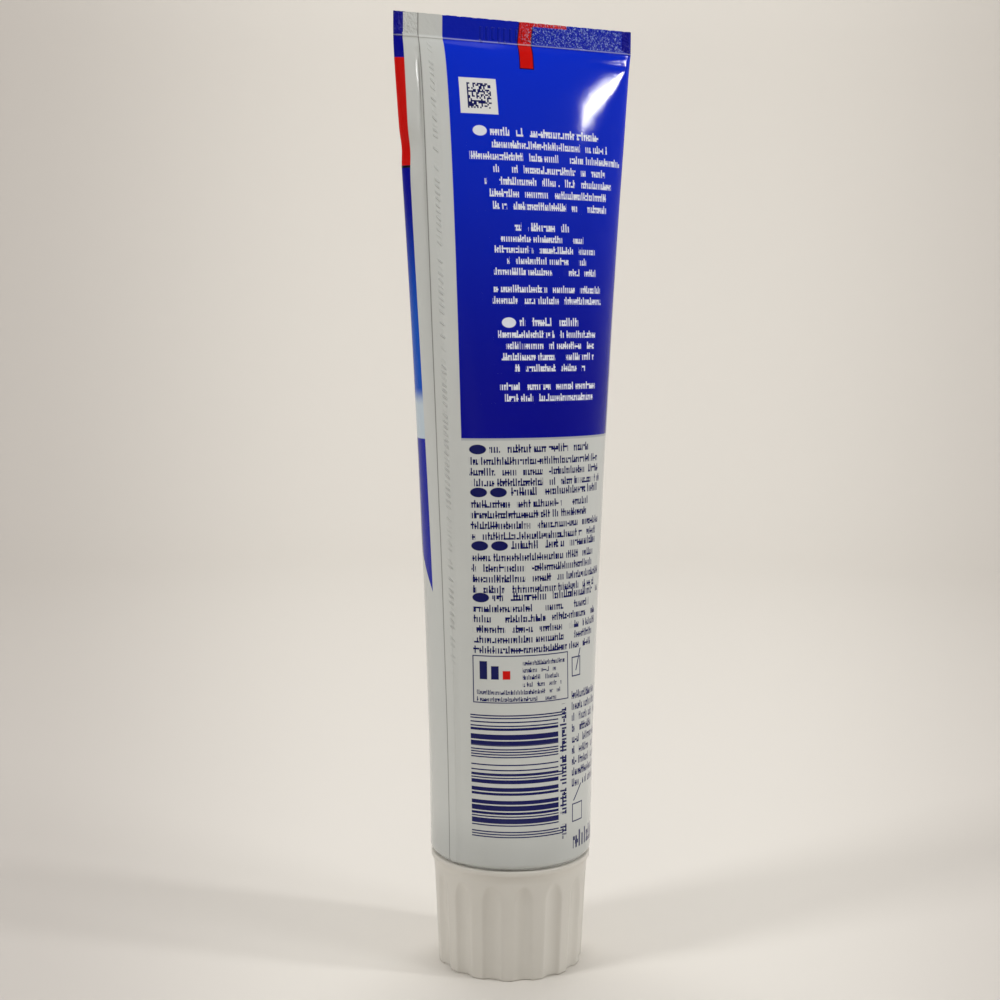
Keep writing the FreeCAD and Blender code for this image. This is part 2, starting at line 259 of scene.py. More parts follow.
class Finish:
    """One material: a Principled shader and the nodes that feed it."""

    def __init__(self, name, constants):
        self.material = bpy.data.materials.new(name)
        self.material.use_nodes = True
        self.tree = self.material.node_tree
        self.shader = self.tree.nodes["Principled BSDF"]
        for socket, value in constants.items():
            self.shader.inputs[socket].default_value = value

    def node(self, kind, settings=None, sockets=None):
        """Any node: its settings first, then the values or links of its sockets."""
        node = self.tree.nodes.new(kind)
        for name, value in (settings or {}).items():
            setattr(node, name, value)
        for name, value in (sockets or {}).items():
            self.feed(node.inputs[name], value)
        return node

    def feed(self, socket, value):
        """Link a value, a socket or a plain constant to a socket."""
        if isinstance(value, Value):
            value = value.socket
        if isinstance(value, bpy.types.NodeSocket):
            self.tree.links.new(value, socket)
        else:
            socket.default_value = value

    def place(self):
        """The object's own coordinates, in metres."""
        return self.node("ShaderNodeTexCoord").outputs["Object"]

    def split(self, vector):
        """The three numbers of a vector."""
        node = self.node("ShaderNodeSeparateXYZ", None, {0: vector})
        return [Value(self, output) for output in node.outputs]

    def join(self, across, up, deep=0.0):
        """A vector from numbers."""
        return self.node("ShaderNodeCombineXYZ", None, {0: across, 1: up, 2: deep}).outputs[0]

    def noise(self, vector, scale, detail=2.0, roughness=0.5):
        """Soft noise, about 0.5 in the mean."""
        node = self.node("ShaderNodeTexNoise", {"noise_dimensions": "3D"},
                         {"Vector": vector, "Scale": scale, "Detail": detail,
                          "Roughness": roughness})
        return Value(self, node.outputs["Fac"])

    def chance(self, across, up):
        """One random number for each pair of whole numbers."""
        stride = 97.31
        node = self.node("ShaderNodeTexWhiteNoise", {"noise_dimensions": "1D"},
                         {"W": across + up * stride})
        return Value(self, node.outputs["Value"])

    def mix(self, share, first, second):
        """A colour between two, each a colour or a socket."""
        node = self.node("ShaderNodeMix", {"data_type": "RGBA"}, {0: share, 6: first, 7: second})
        return node.outputs[2]

    def bump(self, height, distance, strength=1.0, under=None):
        """A normal from a height, laid over another if one is given."""
        sockets = {"Height": height, "Distance": distance, "Strength": strength}
        if under is not None:
            sockets["Normal"] = under
        return self.node("ShaderNodeBump", None, sockets).outputs[0]


def rgb(red, green, blue):
    """A display colour, 0 to 255, as the linear colour that a shader takes."""
    linear = []
    for channel in (red, green, blue):
        share = channel / 255
        linear.append(share / 12.92 if share <= 0.04045 else ((share + 0.055) / 1.055) ** 2.4)
    return (*linear, 1.0)


# The print on the sleeve. Places are in millimetres: girth from the left fold over the back
# panel, and height above the standing face.

# Among these colours, some are painted light and shade laid over the print, as noted by each.
BARE = rgb(207, 210, 207)
# Painted shade at the foot, just above the cap.
FOOT_SHADE_GREY = rgb(120, 124, 126)
# Painted shadow along the lap's outer edge.
SEAM_SHADOW_GREY = rgb(140, 140, 137)
# The panel's blue as a painted lit copy for the top and a painted shaded copy lower down; the
# front's print takes both as plain tones.
PANEL_LIT_BLUE = rgb(4, 46, 212)
PANEL_SHADED_BLUE = rgb(2, 6, 146)
DEEP_BLUE = rgb(24, 34, 160)
SKY_BLUE = rgb(6, 82, 190)
# Painted glints on the crimp.
GLINT_BLUE = rgb(168, 196, 238)
PALE = rgb(196, 210, 220)
RED = rgb(206, 14, 10)
INK = rgb(17, 22, 88)
PAPER_WHITE = rgb(232, 233, 232)

PANEL_LEFT = 10.8
PANEL_FOOT = 115.2
FRONT_START = 55.0
FRONT_MIDDLE = 0.75 * GIRTH
FRONT_END = GIRTH + 2.15
SHEET_WIDTH = GIRTH + SEAM_OVERLAP
BAR_MODULES = 95
EDGE = 0.12


class Print:
    """Masks for the shapes printed on the sleeve."""

    def __init__(self, finish):
        self.finish = finish
        uv = finish.node("ShaderNodeUVMap", {"uv_map": "print"}).outputs[0]
        across, up, _ = finish.split(uv)
        self.girth = across * SHEET_WIDTH + SEAM_EDGE
        self.height = up * TOP

    def field(self, left, right, foot, top, soft=EDGE):
        """A rectangle."""
        return self.girth.within(left, right, soft) & self.height.within(foot, top, soft)

    def oval(self, girth, height, half_width, half_height):
        """A filled oval."""
        across = (self.girth - girth) / half_width
        up = (self.height - height) / half_height
        return (across * across + up * up).short_of(1.0, 2 * EDGE / half_height)

    def frame(self, left, right, foot, top, line):
        """The outline of a rectangle."""
        inside = self.field(left + line, right - line, foot + line, top - line)
        return self.field(left, right, foot, top) - inside

    def ticks(self, along, row, level, body, size, seed):
        """Fine uneven ticks on a row, broken into runs and joined here and there: no letters."""
        width, run_cells, crisp = 0.34 * size, 2.7, 0.02
        cell = (along / width).maths("FLOOR")
        run = self.finish.chance((along / (width * run_cells)).maths("FLOOR"), row + seed)
        run = run.past(0.15, crisp)
        luck = self.finish.chance(cell, row + (seed + 40.0))
        rise = (0.82 - level) / body
        tick = (along / width - cell).within(0.14, 0.64, 0.2) & luck.past(0.08, crisp)
        tick = tick & rise.within(0.0, 1.0, 0.1)
        tick = tick & (rise.short_of(0.72, 0.1) | luck.past(0.72, crisp))
        third = (rise * 4.2).maths("FLOOR")
        joined = self.finish.chance(cell * 5.0 + third, row + (seed + 80.0)).past(0.72, crisp)
        return (tick | (joined & rise.within(0.0, 0.72, 0.1))) & run

    def writing(self, paragraphs, size, centred, seed):
        """Rows of ticks for a list of paragraphs: (left, right, top, rows, pitch)."""
        crisp = 0.002
        sums = None
        for left, right, top, count, pitch in paragraphs:
            inside = self.field(left, right, top - count * pitch, top, crisp)
            parts = [inside, inside * left, inside * right, inside * ((top - self.height) / pitch),
                     inside * (top * 1.7)]
            sums = parts if sums is None else [old + new for old, new in zip(sums, parts)]
        inside, begins, ends, down, key = sums
        row = down.maths("FLOOR")
        ragged = self.finish.chance(row + (seed + 3.0), key) * (ends - begins) * 0.17
        span = (ends - ragged - self.girth).past(0.0, EDGE)
        if centred:
            span = span & (self.girth - begins - ragged).past(0.0, EDGE)
        pitches = [pitch for *_, pitch in paragraphs]
        body = size * len(pitches) / sum(pitches)
        return inside & span & self.ticks(self.girth, row + key, down - row, body, size, seed)

    def bars(self, left, right, foot, module):
        """Bars of random thickness stacked up the tube, longer at both ends and the middle."""
        step = ((self.height - foot) / module).maths("FLOOR")
        even = step.maths("MODULO", 2.0).short_of(0.5, 0.1)
        dark = (self.finish.chance(step, 3.0) + even * 0.34).past(0.64, 0.01)
        dark = dark & step.maths("MODULO", 5.0).past(0.5, 0.1)
        guards = None
        for first in (0, BAR_MODULES // 2 - 1, BAR_MODULES - 3):
            level = foot + first * module
            zone = self.field(left, right + 1.2, level, level + 3 * module, 0.02)
            guards = zone if guards is None else guards | zone
        longer = guards & even
        plain = self.field(left, right, foot, foot + BAR_MODULES * module) - guards
        return longer | (plain & dark)

    def mosaic(self, left, right, foot, top, cell):
        """A square of random small cells."""
        across = ((self.girth - left) / cell).maths("FLOOR")
        up = ((self.height - foot) / cell).maths("FLOOR")
        dark = self.finish.chance(across + 11.0, up).past(0.48, 0.01)
        return self.field(left, right, foot, top) & (dark | self.girth.short_of(left + cell, 0.05))


def front_colour(finish, ink):
    """The front: blue that lightens downwards, a red banner, plain waves and a white arch."""
    girth, height = ink.girth, ink.height
    from_middle = (girth - FRONT_MIDDLE).maths("ABSOLUTE")
    colour = finish.mix(height.past(150.0, 30.0), SKY_BLUE, PANEL_SHADED_BLUE)
    wave = (girth * 0.16).maths("SINE")
    inner = from_middle.short_of(20.0, 8.0)
    for level, rise, thickness, tone in ((152.0, 5.0, 1.2, PALE), (147.0, 6.0, 2.6, SKY_BLUE),
                                         (140.0, 7.0, 1.0, PALE)):
        band = (height - level - wave * rise).within(-thickness / 2, thickness / 2, EDGE)
        colour = finish.mix(band * inner, colour, tone)
    colour = finish.mix(height.short_of(123.5, 4.0), colour, PALE)
    colour = finish.mix(height.short_of(114.8, 0.3), colour, DEEP_BLUE)
    colour = finish.mix(height.within(170.4, 191.8, EDGE), colour, RED)
    colour = finish.mix(height.within(169.9, 170.4, EDGE), colour, rgb(12, 10, 20))
    for place in (-12.0, 0.0, 12.0):
        colour = finish.mix(ink.oval(FRONT_MIDDLE + place, 181.0, 4.2, 4.2), colour, PAPER_WHITE)
        colour = finish.mix(ink.oval(FRONT_MIDDLE + place, 181.0, 2.4, 2.4), colour, RED)
    arch = height + from_middle * from_middle * 0.0303
    colour = finish.mix(arch.short_of(109.2, 0.3), colour, BARE)
    paragraphs = [(FRONT_MIDDLE - 15.0, FRONT_MIDDLE + 15.0, 98.0, 3, 4.4),
                  (FRONT_MIDDLE - 13.0, FRONT_MIDDLE + 13.0, 78.0, 3, 4.2)]
    colour = finish.mix(ink.writing(paragraphs, 2.9, True, 11.0), colour, INK)
    for level in (62.0, 38.0):
        line = ink.field(FRONT_MIDDLE - 17.0, FRONT_MIDDLE + 17.0, level, level + 0.5)
        colour = finish.mix(line, colour, INK)
    for place, tone in ((-12.0, PANEL_LIT_BLUE), (0.0, SKY_BLUE), (12.0, RED)):
        colour = finish.mix(ink.oval(FRONT_MIDDLE + place, 50.2, 4.6, 4.6), colour, tone)
        colour = finish.mix(ink.oval(FRONT_MIDDLE + place, 50.2, 2.6, 2.6), colour, PAPER_WHITE)
    return colour


def back_colour(finish, ink):
    """The back: a blue panel, painted lighter towards the top and shaded in the crimp, over a
    white field, with ticks in place of all writing.
    """
    girth, height = ink.girth, ink.height
    # painted light and shade: the panel's blue is lit towards the top and shaded towards its foot
    panel = finish.mix(height.ramp(PANEL_FOOT, TOP), PANEL_SHADED_BLUE, PANEL_LIT_BLUE)
    # painted shade: the panel's blue darkens in the crimp
    panel = finish.mix(height.past(CRIMP_LEVEL + 0.3, 0.6) * 0.6, panel, PANEL_SHADED_BLUE)
    colour = finish.mix(height.past(PANEL_FOOT, EDGE), BARE, panel)
    shadow = height.within(PANEL_FOOT - 0.45, PANEL_FOOT, 0.3) * 0.45
    colour = finish.mix(shadow, colour, rgb(120, 126, 150))

    # the mark that steers the filling machine, slanted a little
    slanted = girth - (height - 191.0) * 0.1
    edged = slanted.within(27.05, 30.45, EDGE) & height.past(190.95, EDGE)
    colour = finish.mix(edged, colour, rgb(40, 6, 40))
    mark = slanted.within(27.3, 30.2, EDGE) & height.past(191.2, EDGE)
    colour = finish.mix(mark | ink.field(30.4, 39.2, 200.2, TOP + 1), colour, RED)

    # on the blue panel
    paragraphs = [(14.0, 52.0, 176.4, 6, 2.5), (18.0, 44.0, 157.1, 4, 2.25),
                  (16.0, 47.0, 146.9, 2, 2.35), (18.0, 44.0, 137.6, 4, 2.3),
                  (15.0, 47.0, 127.0, 2, 2.35)]
    openings = [(19.2, 50.0, 178.9, 1, 2.5), (23.5, 38.0, 159.5, 1, 2.4),
                (23.6, 39.0, 140.1, 1, 2.4)]
    pale = ink.writing(paragraphs, 1.5, True, 1.0)
    pale = pale | ink.writing(openings, 1.7, False, 2.0)
    pale = pale | ink.oval(17.0, 177.7, 1.5, 1.05) | ink.oval(21.4, 138.8, 1.5, 1.05)
    colour = finish.mix(pale, colour, rgb(232, 236, 246))
    colour = finish.mix(ink.field(13.2, 21.3, 181.1, 188.4), colour, PAPER_WHITE)
    colour = finish.mix(ink.mosaic(14.8, 20.0, 182.2, 187.4, 0.325), colour, INK)

    # on the white field; a paragraph's first row leaves room for its ovals
    paragraphs = [(12.3, 45.5, 111.6, 3, 2.2), (12.3, 45.5, 102.8, 4, 2.2),
                  (12.3, 45.5, 91.8, 4, 2.2), (12.3, 45.5, 81.2, 5, 2.15),
                  (34.4, 46.0, 62.0, 9, 2.35)]
    openings = []
    for level, ovals in ((113.1, 1), (104.3, 2), (93.3, 2), (82.6, 1)):
        openings.append((12.4 + 4.1 * ovals, 45.5, level + 0.95, 1, 2.2))
        for place in range(ovals):
            colour = finish.mix(ink.oval(14.1 + 4.1 * place, level - 0.15, 1.75, 1.0), colour, INK)
    dark = ink.writing(paragraphs, 1.6, False, 6.0) | ink.writing(openings, 1.7, False, 8.0)
    boxed = [(22.6, 32.6, 69.5, 4, 1.5), (12.9, 32.6, 63.4, 2, 1.45)]
    dark = dark | ink.writing(boxed, 1.0, False, 10.0)
    dark = dark | ink.writing([(34.8, 46.5, 31.6, 1, 4.6)], 3.6, False, 13.0)
    sideways = (girth - 30.9) / 2.3
    numbers = ink.ticks(height, sideways.maths("FLOOR"), sideways, 0.76, 2.3, 14.0)
    dark = dark | (numbers & ink.field(30.9, 33.2, 30.6, 59.5))
    dark = dark | ink.bars(11.4, 30.6, 31.9, 0.274)
    colour = finish.mix(dark, colour, INK)

    # small pictures, all plain shapes
    drawn = ink.frame(12.1, 33.4, 60.4, 70.4, 0.22) | ink.frame(34.5, 37.3, 64.8, 69.0, 0.25)
    drawn = drawn | ink.frame(34.5, 38.2, 33.6, 37.6, 0.25)
    leaning = girth - (height - 64.0) * 0.32
    drawn = drawn | (leaning.within(35.0, 35.3, EDGE) & height.within(66.0, 70.6, EDGE))
    leaning = girth - (height - 38.0) * 0.8
    drawn = drawn | (leaning.within(34.6, 35.0, EDGE) & height.within(38.2, 41.5, EDGE))
    drawn = drawn | ink.field(13.6, 15.2, 65.4, 69.2) | ink.field(16.0, 17.6, 65.4, 68.2)
    colour = finish.mix(drawn, colour, INK)
    return finish.mix(ink.field(18.4, 20.0, 65.4, 67.2), colour, RED)


def print_colour(finish, ink):
    """Where each panel lies round the girth; the lap and the strip beside it stay bare but for a
    painted shadow at the lap's edge.
    """
    # painted shade, darker towards the foot
    foot_shade = ink.height.ramp(38.0, FOOT) * 0.25
    # a painted shadow along the outer ply's edge at the seam
    seam_shadow = finish.mix(ink.girth.short_of(SEAM_EDGE + 0.2, 0.2), BARE, SEAM_SHADOW_GREY)
    colour = finish.mix(ink.girth.past(PANEL_LEFT, EDGE), seam_shadow, back_colour(finish, ink))
    colour = finish.mix(ink.girth.past(FRONT_START, EDGE), colour, front_colour(finish, ink))
    colour = finish.mix(ink.girth.past(FRONT_END, EDGE), colour, BARE)
    colour = finish.mix(foot_shade, colour, FOOT_SHADE_GREY)
    # a painted highlight along the crimp's ridge
    ridge = ink.height.within(CRIMP_LEVEL + 0.15, CRIMP_LEVEL + 0.4, 0.2) * 0.35
    return finish.mix(ridge, colour, PAPER_WHITE)


def sleeve_finish():
    """Glossy film over print, with the fine orange-peel of a pressed laminate."""
    finish = Finish("printed_laminate", {"IOR": 1.5, "Specular IOR Level": 0.22})
    ink = Print(finish)
    colour = print_colour(finish, ink)
    place = finish.place()
    height, girth = ink.height, ink.girth
    pressed = height.past(CRIMP_LEVEL + 0.3, 0.8)
    # painted glints: pale specks on the crimp's right half in place of glints of light
    painted_glints = finish.noise(place, 2600.0, 2.0, 0.7).ramp(0.5, 0.68) * pressed
    painted_glints = painted_glints * girth.within(29.0, 53.0, 4.0)
    colour = finish.mix(painted_glints * 0.6, colour, GLINT_BLUE)
    finish.feed(finish.shader.inputs["Base Color"], colour)
    near_crimp = height.past(184.0, 16.0)
    peel = finish.bump(finish.noise(place, 1900.0, 2.0, 0.55), 0.00005, 0.25)
    coarse = (pressed * girth.past(30.0, 6.0)) * 1.2 + pressed * 0.08 + near_crimp * 0.012
    speckle = finish.noise(place, 1300.0, 2.0, 0.6) * coarse
    peel = finish.bump(speckle, 0.0004, 1.0, peel)
    peel = finish.bump(finish.noise(place, 120.0, 1.0, 0.4), 0.0006, 0.18, peel)

    # short slanted ticks where the inner ply's edge shows through the weld
    pitch = 1.25
    along = height + (girth - 7.6) * 0.8 + finish.noise(finish.join(height * 0.31, 0.0), 1.0) * 1.6
    step = (along / pitch).maths("FLOOR")
    tick = (along / pitch - step).within(0.3, 0.62, 0.22)
    tick = tick * finish.chance(step, step).past(0.25, 0.5)
    tick = tick * girth.within(7.2, 8.1, 0.3) * height.within(70.0, 194.0, 20.0)
    line = girth.within(7.45, 7.7, 0.2) * height.short_of(90.0, 60.0)
    weld = finish.bump(tick + line * 0.3, 0.00022, 1.0, peel)

    # pressed strokes in the crimp
    pitch = 1.35
    cell = (girth / pitch).maths("FLOOR")
    stroke = (girth / pitch - cell).within(0.25, 0.62, 0.16)
    drop = finish.chance(cell, cell) * 1.2
    stroke = stroke * (height - drop).past(195.9, 0.2) * height.short_of(199.3, 0.2)
    stroke = stroke * girth.within(18.8, 31.0, 0.2)
    finish.feed(finish.shader.inputs["Normal"], finish.bump(stroke, 0.0003, 1.0, weld))
    shine = 0.07 + finish.noise(place, 240.0, 2.0) * 0.05 + pressed * 0.05
    finish.feed(finish.shader.inputs["Roughness"], shine)
    return finish.material


# The sleeve

def oval_at(height):
    """Half width and half depth of the sleeve's oval at a height, at one girth all the way."""
    foot = FOOT + FOOT_BEND
    share = np.clip((height - foot) / (CRIMP_LEVEL - foot), 0.0, 1.0)
    open_share = (1 - share ** FLATTEN_ONSET) ** FLATTEN_ROOT
    depth = CRIMP_HALF + (RADIUS - CRIMP_HALF) * open_share
    flat_width = math.pi / 2 * RADIUS
    width = flat_width - (flat_width - RADIUS) * (depth / RADIUS) ** GIRTH_POWER
    return max(width, depth), depth


def turns_along(half_width, half_depth, count=1441):
    """A table from girth, as a share of the whole, to the turn round an oval."""
    turn = np.linspace(0.0, 2 * math.pi, count)
    across, up = -half_width * np.cos(turn), -half_depth * np.sin(turn)
    length = np.concatenate([[0.0], np.cumsum(np.hypot(np.diff(across), np.diff(up)))])
    return length / length[-1], turn


def sleeve_rows():
    """Heights up the sleeve with how far each row is drawn in at the foot."""
    rows = [(FOOT, LIP_REACH), (FOOT, (LIP_REACH + FOOT_BEND) / 2)]
    for sine, cosine in quarter(BEND_ROWS):
        rows.append((FOOT + FOOT_BEND * (1 - cosine), FOOT_BEND * (1 - sine)))
    for step in range(1, WALL_ROWS + 1):
        share = math.sin(math.pi / 2 * step / WALL_ROWS)
        rows.append((FOOT + FOOT_BEND + share * (CRIMP_LEVEL - FOOT - FOOT_BEND), 0.0))
    for step in range(1, CRIMP_ROWS + 1):
        share = (step / CRIMP_ROWS) ** CRIMP_SPREAD
        rows.append((CRIMP_LEVEL + share * (TOP - CRIMP_LEVEL), 0.0))
    return rows


def lap_step(girth, height):
    """How far the lap's upper ply stands up: full at the seam, nearly none in the crimp."""
    lap_end = SEAM_EDGE + SEAM_OVERLAP
    lap = SEAM_STEP * (1 - smooth(lap_end, lap_end + SEAM_RAMP, girth))
    return lap * (1 - 0.85 * smooth(CRIMP_LEVEL - 10, CRIMP_LEVEL, height))


def buckle(girth, height):
    """The long slanted swelling in the back's upper right corner, narrower towards the crimp."""
    across, up = girth - BUCKLE_GIRTH, height - BUCKLE_LEVEL
    along = across * math.cos(BUCKLE_LEAN) + up * math.sin(BUCKLE_LEAN)
    aside = up * math.cos(BUCKLE_LEAN) - across * math.sin(BUCKLE_LEAN) + 0.014 * along ** 2
    narrowing = np.exp(0.136 * along)
    rise = BUCKLE_RISE * np.exp(-(along / 13.5) ** 2 - (aside * narrowing / 2.32) ** 2)
    return rise * smooth(CRIMP_LEVEL + 0.5, CRIMP_LEVEL - 0.5, height)


def rounded_dent(fold, height, dent):
    """One of the dents in the table."""
    depth, place, half_width, level, half_height = dent
    return -depth * swell(fold, place, half_width) * swell(height, level, half_height)


def dents(girth, height):
    """What handling left: the dents, the crease beside the seam, the corner's buckle and the
    furrow above it."""
    fold = girth % GIRTH
    hollows = sum(rounded_dent(fold, height, dent) for dent in (LEFT_DENT, RIGHT_DENT, DIMPLE))
    crease = smooth(CRIMP_LEVEL - 2, CRIMP_LEVEL - 6, height)
    crease = crease * smooth(CRIMP_LEVEL - 24, CRIMP_LEVEL - 10, height)
    crease = -0.4 * crease * swell(fold, SEAM_EDGE - 0.35, 0.45)
    furrow = smooth(42.5, 45.5, girth) * smooth(55.0, 52.0, girth)
    furrow = -0.12 * furrow * swell(height, 193.6, 0.7)
    return hollows + crease + buckle(girth, height) + furrow


def skin_offset(girth, height):
    """How far the skin stands off its oval: the lap, the crimp's ridge, dents, fine waves.

    What stands up fades out at both folds, so that the tube grows no wider there."""
    fold = girth % GIRTH
    from_fold = GIRTH / 4 - np.abs(fold % (GIRTH / 2) - GIRTH / 4)
    dent = dents(girth, height)
    ridge = 0.3 * swell(height, CRIMP_LEVEL + 0.2, 0.3)
    raised = (ridge + np.maximum(dent, 0.0)) * smooth(0.2, 1.8, from_fold)
    open_wall = smooth(CRIMP_LEVEL, CRIMP_LEVEL - 14.0, height)
    open_wall = open_wall * smooth(FOOT + 3, FOOT + 30, height)
    wave = 0.05 * np.sin(girth * 0.33 + height * 0.11) * np.sin(height * 0.07 + 1.3) * open_wall
    wave = wave * smooth(1.0, 6.0, from_fold)
    return lap_step(girth, height) + raised + np.minimum(dent, 0.0) + wave


def build_sleeve(material):
    """The sheet, rolled so that it laps at the seam, and flattened to the crimp."""
    rows = sleeve_rows()
    sheet = bmesh.new()
    bmesh.ops.create_grid(sheet, x_segments=COLUMNS, y_segments=len(rows) - 1, size=0.5,
                          calc_uvs=False)
    sheet.verts.ensure_lookup_table()
    print_uv = sheet.loops.layers.uv.new("print")
    by_row = {}
    for vert in sheet.verts:
        row = round((vert.co.y + 0.5) * (len(rows) - 1))
        by_row.setdefault(row, []).append(vert)
    uv_of = {}
    for row, (height, drawn_in) in enumerate(rows):
        half_width, half_depth = oval_at(height)
        shares, turns = turns_along(half_width, half_depth)
        verts = by_row[row]
        even = np.array([vert.co.x + 0.5 for vert in verts])
        share = even - CROWDING / (4 * math.pi) * np.sin(4 * math.pi * even)
        girth = SEAM_EDGE + share * SHEET_WIDTH
        turn = np.interp((girth % GIRTH) / GIRTH, shares, turns)
        normal_x = -np.cos(turn) * half_depth
        normal_y = -np.sin(turn) * half_width
        length = np.hypot(normal_x, normal_y)
        offset = skin_offset(girth, height) - drawn_in
        across = -half_width * np.cos(turn) + normal_x / length * offset
        deep = -half_depth * np.sin(turn) + normal_y / length * offset
        levels = np.full(len(verts), height)
        if height >= TOP:
            levels -= CUT_DROP + CUT_RAGGED * np.sin(girth * 2.7) * np.sin(girth * 0.9 + 1)
        for index, vert in enumerate(verts):
            uv_of[vert.index] = (share[index], height / TOP)
            vert.co = Vector((across[index], deep[index], levels[index])) * MM
    for face in sheet.faces:
        for loop in face.loops:
            loop[print_uv].uv = uv_of[loop.vert.index]
    for edge in sheet.edges:
        edge.smooth = not edge.is_boundary
    bmesh.ops.recalc_face_normals(sheet, faces=sheet.faces)
    back = Vector((0.0, -RADIUS, 50.0)) * MM
    middle = min(sheet.faces, key=lambda face: (face.calc_center_median() - back).length)
    if middle.normal.y > 0:
        bmesh.ops.reverse_faces(sheet, faces=sheet.faces)
    piece = keep(sheet, "printed_sleeve", "tube", material, "tube_sleeve")
    wall = piece.modifiers.new("laminate", "SOLIDIFY")
    wall.thickness = LAMINATE * MM
    wall.offset = -1.0
    wall.use_even_offset = False
    return piece


# The screw cap

def cap_profile():
    """The cap's section as (radius, height), round from the deck's middle to its inside."""
    points = [(0.0, DECK_RECESS), (SKIRT_BASE - STANDING_RING - CHAMFER, DECK_RECESS),
              (SKIRT_BASE - STANDING_RING, 0.0), (SKIRT_BASE - BASE_ROUND - CHAMFER, 0.0)]
    for sine, cosine in quarter(ROUND_ROWS):
        points.append((SKIRT_BASE - BASE_ROUND * (1 - sine), BASE_ROUND * (1 - cosine)))
    for step in range(1, SKIRT_ROWS + 1):
        height = BASE_ROUND + (FLARE_FOOT - FLARE_BLEND - BASE_ROUND) * step / SKIRT_ROWS
        points.append((SKIRT_BASE + SKIRT_SLOPE * height, height))
    for step in range(1, FLARE_ROWS + 1):
        share = step / FLARE_ROWS
        radius = SKIRT_TOP - SKIRT_SLOPE * FLARE_BLEND * (1 - share)
        points.append((radius + (RIM_RADIUS - SKIRT_TOP) * share ** 1.8,
                       FLARE_FOOT - FLARE_BLEND + (RIM_FLARE + FLARE_BLEND) * share))
    for sine, cosine in quarter(ROUND_ROWS):
        points.append((RIM_RADIUS - RIM_ROUND * (1 - cosine), CAP_HEIGHT - RIM_ROUND * (1 - sine)))
    collar = COLLAR_BORE + COLLAR_WALL
    points += [(RIM_RADIUS - RIM_WALL + CHAMFER, CAP_HEIGHT),
               (RIM_RADIUS - RIM_WALL, CAP_HEIGHT - CHAMFER),
               (SKIRT_TOP - SKIRT_WALL, FLARE_FOOT), (SKIRT_BASE - SKIRT_WALL, DECK_TOP),
               (collar, DECK_TOP), (collar, COLLAR_TOP - 0.2), (collar - 0.2, COLLAR_TOP),
               (COLLAR_BORE + 0.2, COLLAR_TOP), (COLLAR_BORE, COLLAR_TOP - 0.2),
               (COLLAR_BORE, DECK_TOP), (PLUG_RADIUS, DECK_TOP), (PLUG_RADIUS, PLUG_TOP - CHAMFER),
               (PLUG_RADIUS - CHAMFER, PLUG_TOP), (PLUG_RADIUS - PLUG_WALL, PLUG_TOP),
               (PLUG_RADIUS - PLUG_WALL, DECK_TOP), (0.0, DECK_TOP)]
    return points


def scooped(radius, turn, height):
    """The skirt's radius at a turn, where a flute's round tool cuts it with soft shoulders."""
    pitch = 2 * math.pi / FLUTES
    offset = (turn - math.radians(CAP_TURN) + pitch / 2) % pitch - pitch / 2
    lift = max(0.0, height - FLUTE_STRAIGHT)
    depth = FLUTE_DEPTH - lift * lift / (2 * FLUTE_RUN_OUT)
    centre = radius - depth + FLUTE_RADIUS
    reach = FLUTE_RADIUS ** 2 - (centre * math.sin(offset)) ** 2
    if reach <= 0:
        return radius
    cut = centre * math.cos(offset) - math.sqrt(reach)
    share = min(max(0.5 + (radius - cut) / (2 * FLUTE_BLEND), 0.0), 1.0)
    return radius * (1 - share) + cut * share - FLUTE_BLEND * share * (1 - share)


def build_cap(material):
    """The cap's section spun round, with the flutes pressed into its skirt."""
    cap = spun(in_metres(cap_profile()), FLUTES * STEPS_PER_FLUTE)
    skirt_inside, plain_rim, skin = SKIRT_BASE - STANDING_RING + 0.5, 1.2, 0.9
    for vert in cap.verts:
        radius = math.hypot(vert.co.x, vert.co.y) / MM
        height = vert.co.z / MM
        skirt = SKIRT_BASE + height * SKIRT_SLOPE
        outside = radius > skirt - skin and height < CAP_HEIGHT - plain_rim
        if height < 1e-4:
            outside = radius > skirt_inside
        if outside:
            turn = math.atan2(vert.co.y, vert.co.x)
            full = max(radius, skirt - BASE_ROUND)
            scale = (scooped(full, turn, height) - full + radius) / radius
            vert.co.x *= scale
            vert.co.y *= scale
    piece = keep(cap, "fluted_cap", "cap", material, "screw_cap")
    return piece


def cap_finish():
    """White polypropylene with faint flow marks and fine scuffs."""
    finish = Finish("cap_plastic", {"IOR": 1.49})
    place = finish.place()
    cloud = finish.noise(place, 90.0, 3.0)
    finish.feed(finish.shader.inputs["Base Color"],
                finish.mix(cloud, rgb(208, 205, 197), rgb(215, 212, 205)))
    grain = finish.noise(place, 2400.0, 3.0, 0.6)
    finish.feed(finish.shader.inputs["Roughness"], 0.27 + cloud * 0.1)
    soft = finish.bump(finish.noise(place, 180.0, 2.0), 0.0003, 0.1)
    finish.feed(finish.shader.inputs["Normal"], finish.bump(grain, 0.00004, 0.25, soft))
    return finish.material


# The shoulder, its thread and the paste

def shoulder_finish():
    """Natural white polyethylene with a slightly waxy surface."""
    finish = Finish("shoulder_plastic", {"IOR": 1.5, "Subsurface Weight": 0.15,
                                         "Subsurface Scale": 0.4,
                                         "Subsurface Radius": (0.004, 0.004, 0.003)})
    place = finish.place()
    cloud = finish.noise(place, 150.0, 3.0)
    finish.feed(finish.shader.inputs["Base Color"],
                finish.mix(cloud, rgb(216, 217, 214), rgb(228, 229, 226)))
    finish.feed(finish.shader.inputs["Roughness"], 0.38 + cloud * 0.14)
    finish.feed(finish.shader.inputs["Normal"],
                finish.bump(finish.noise(place, 1800.0, 2.0), 0.00005, 0.3))
    return finish.material


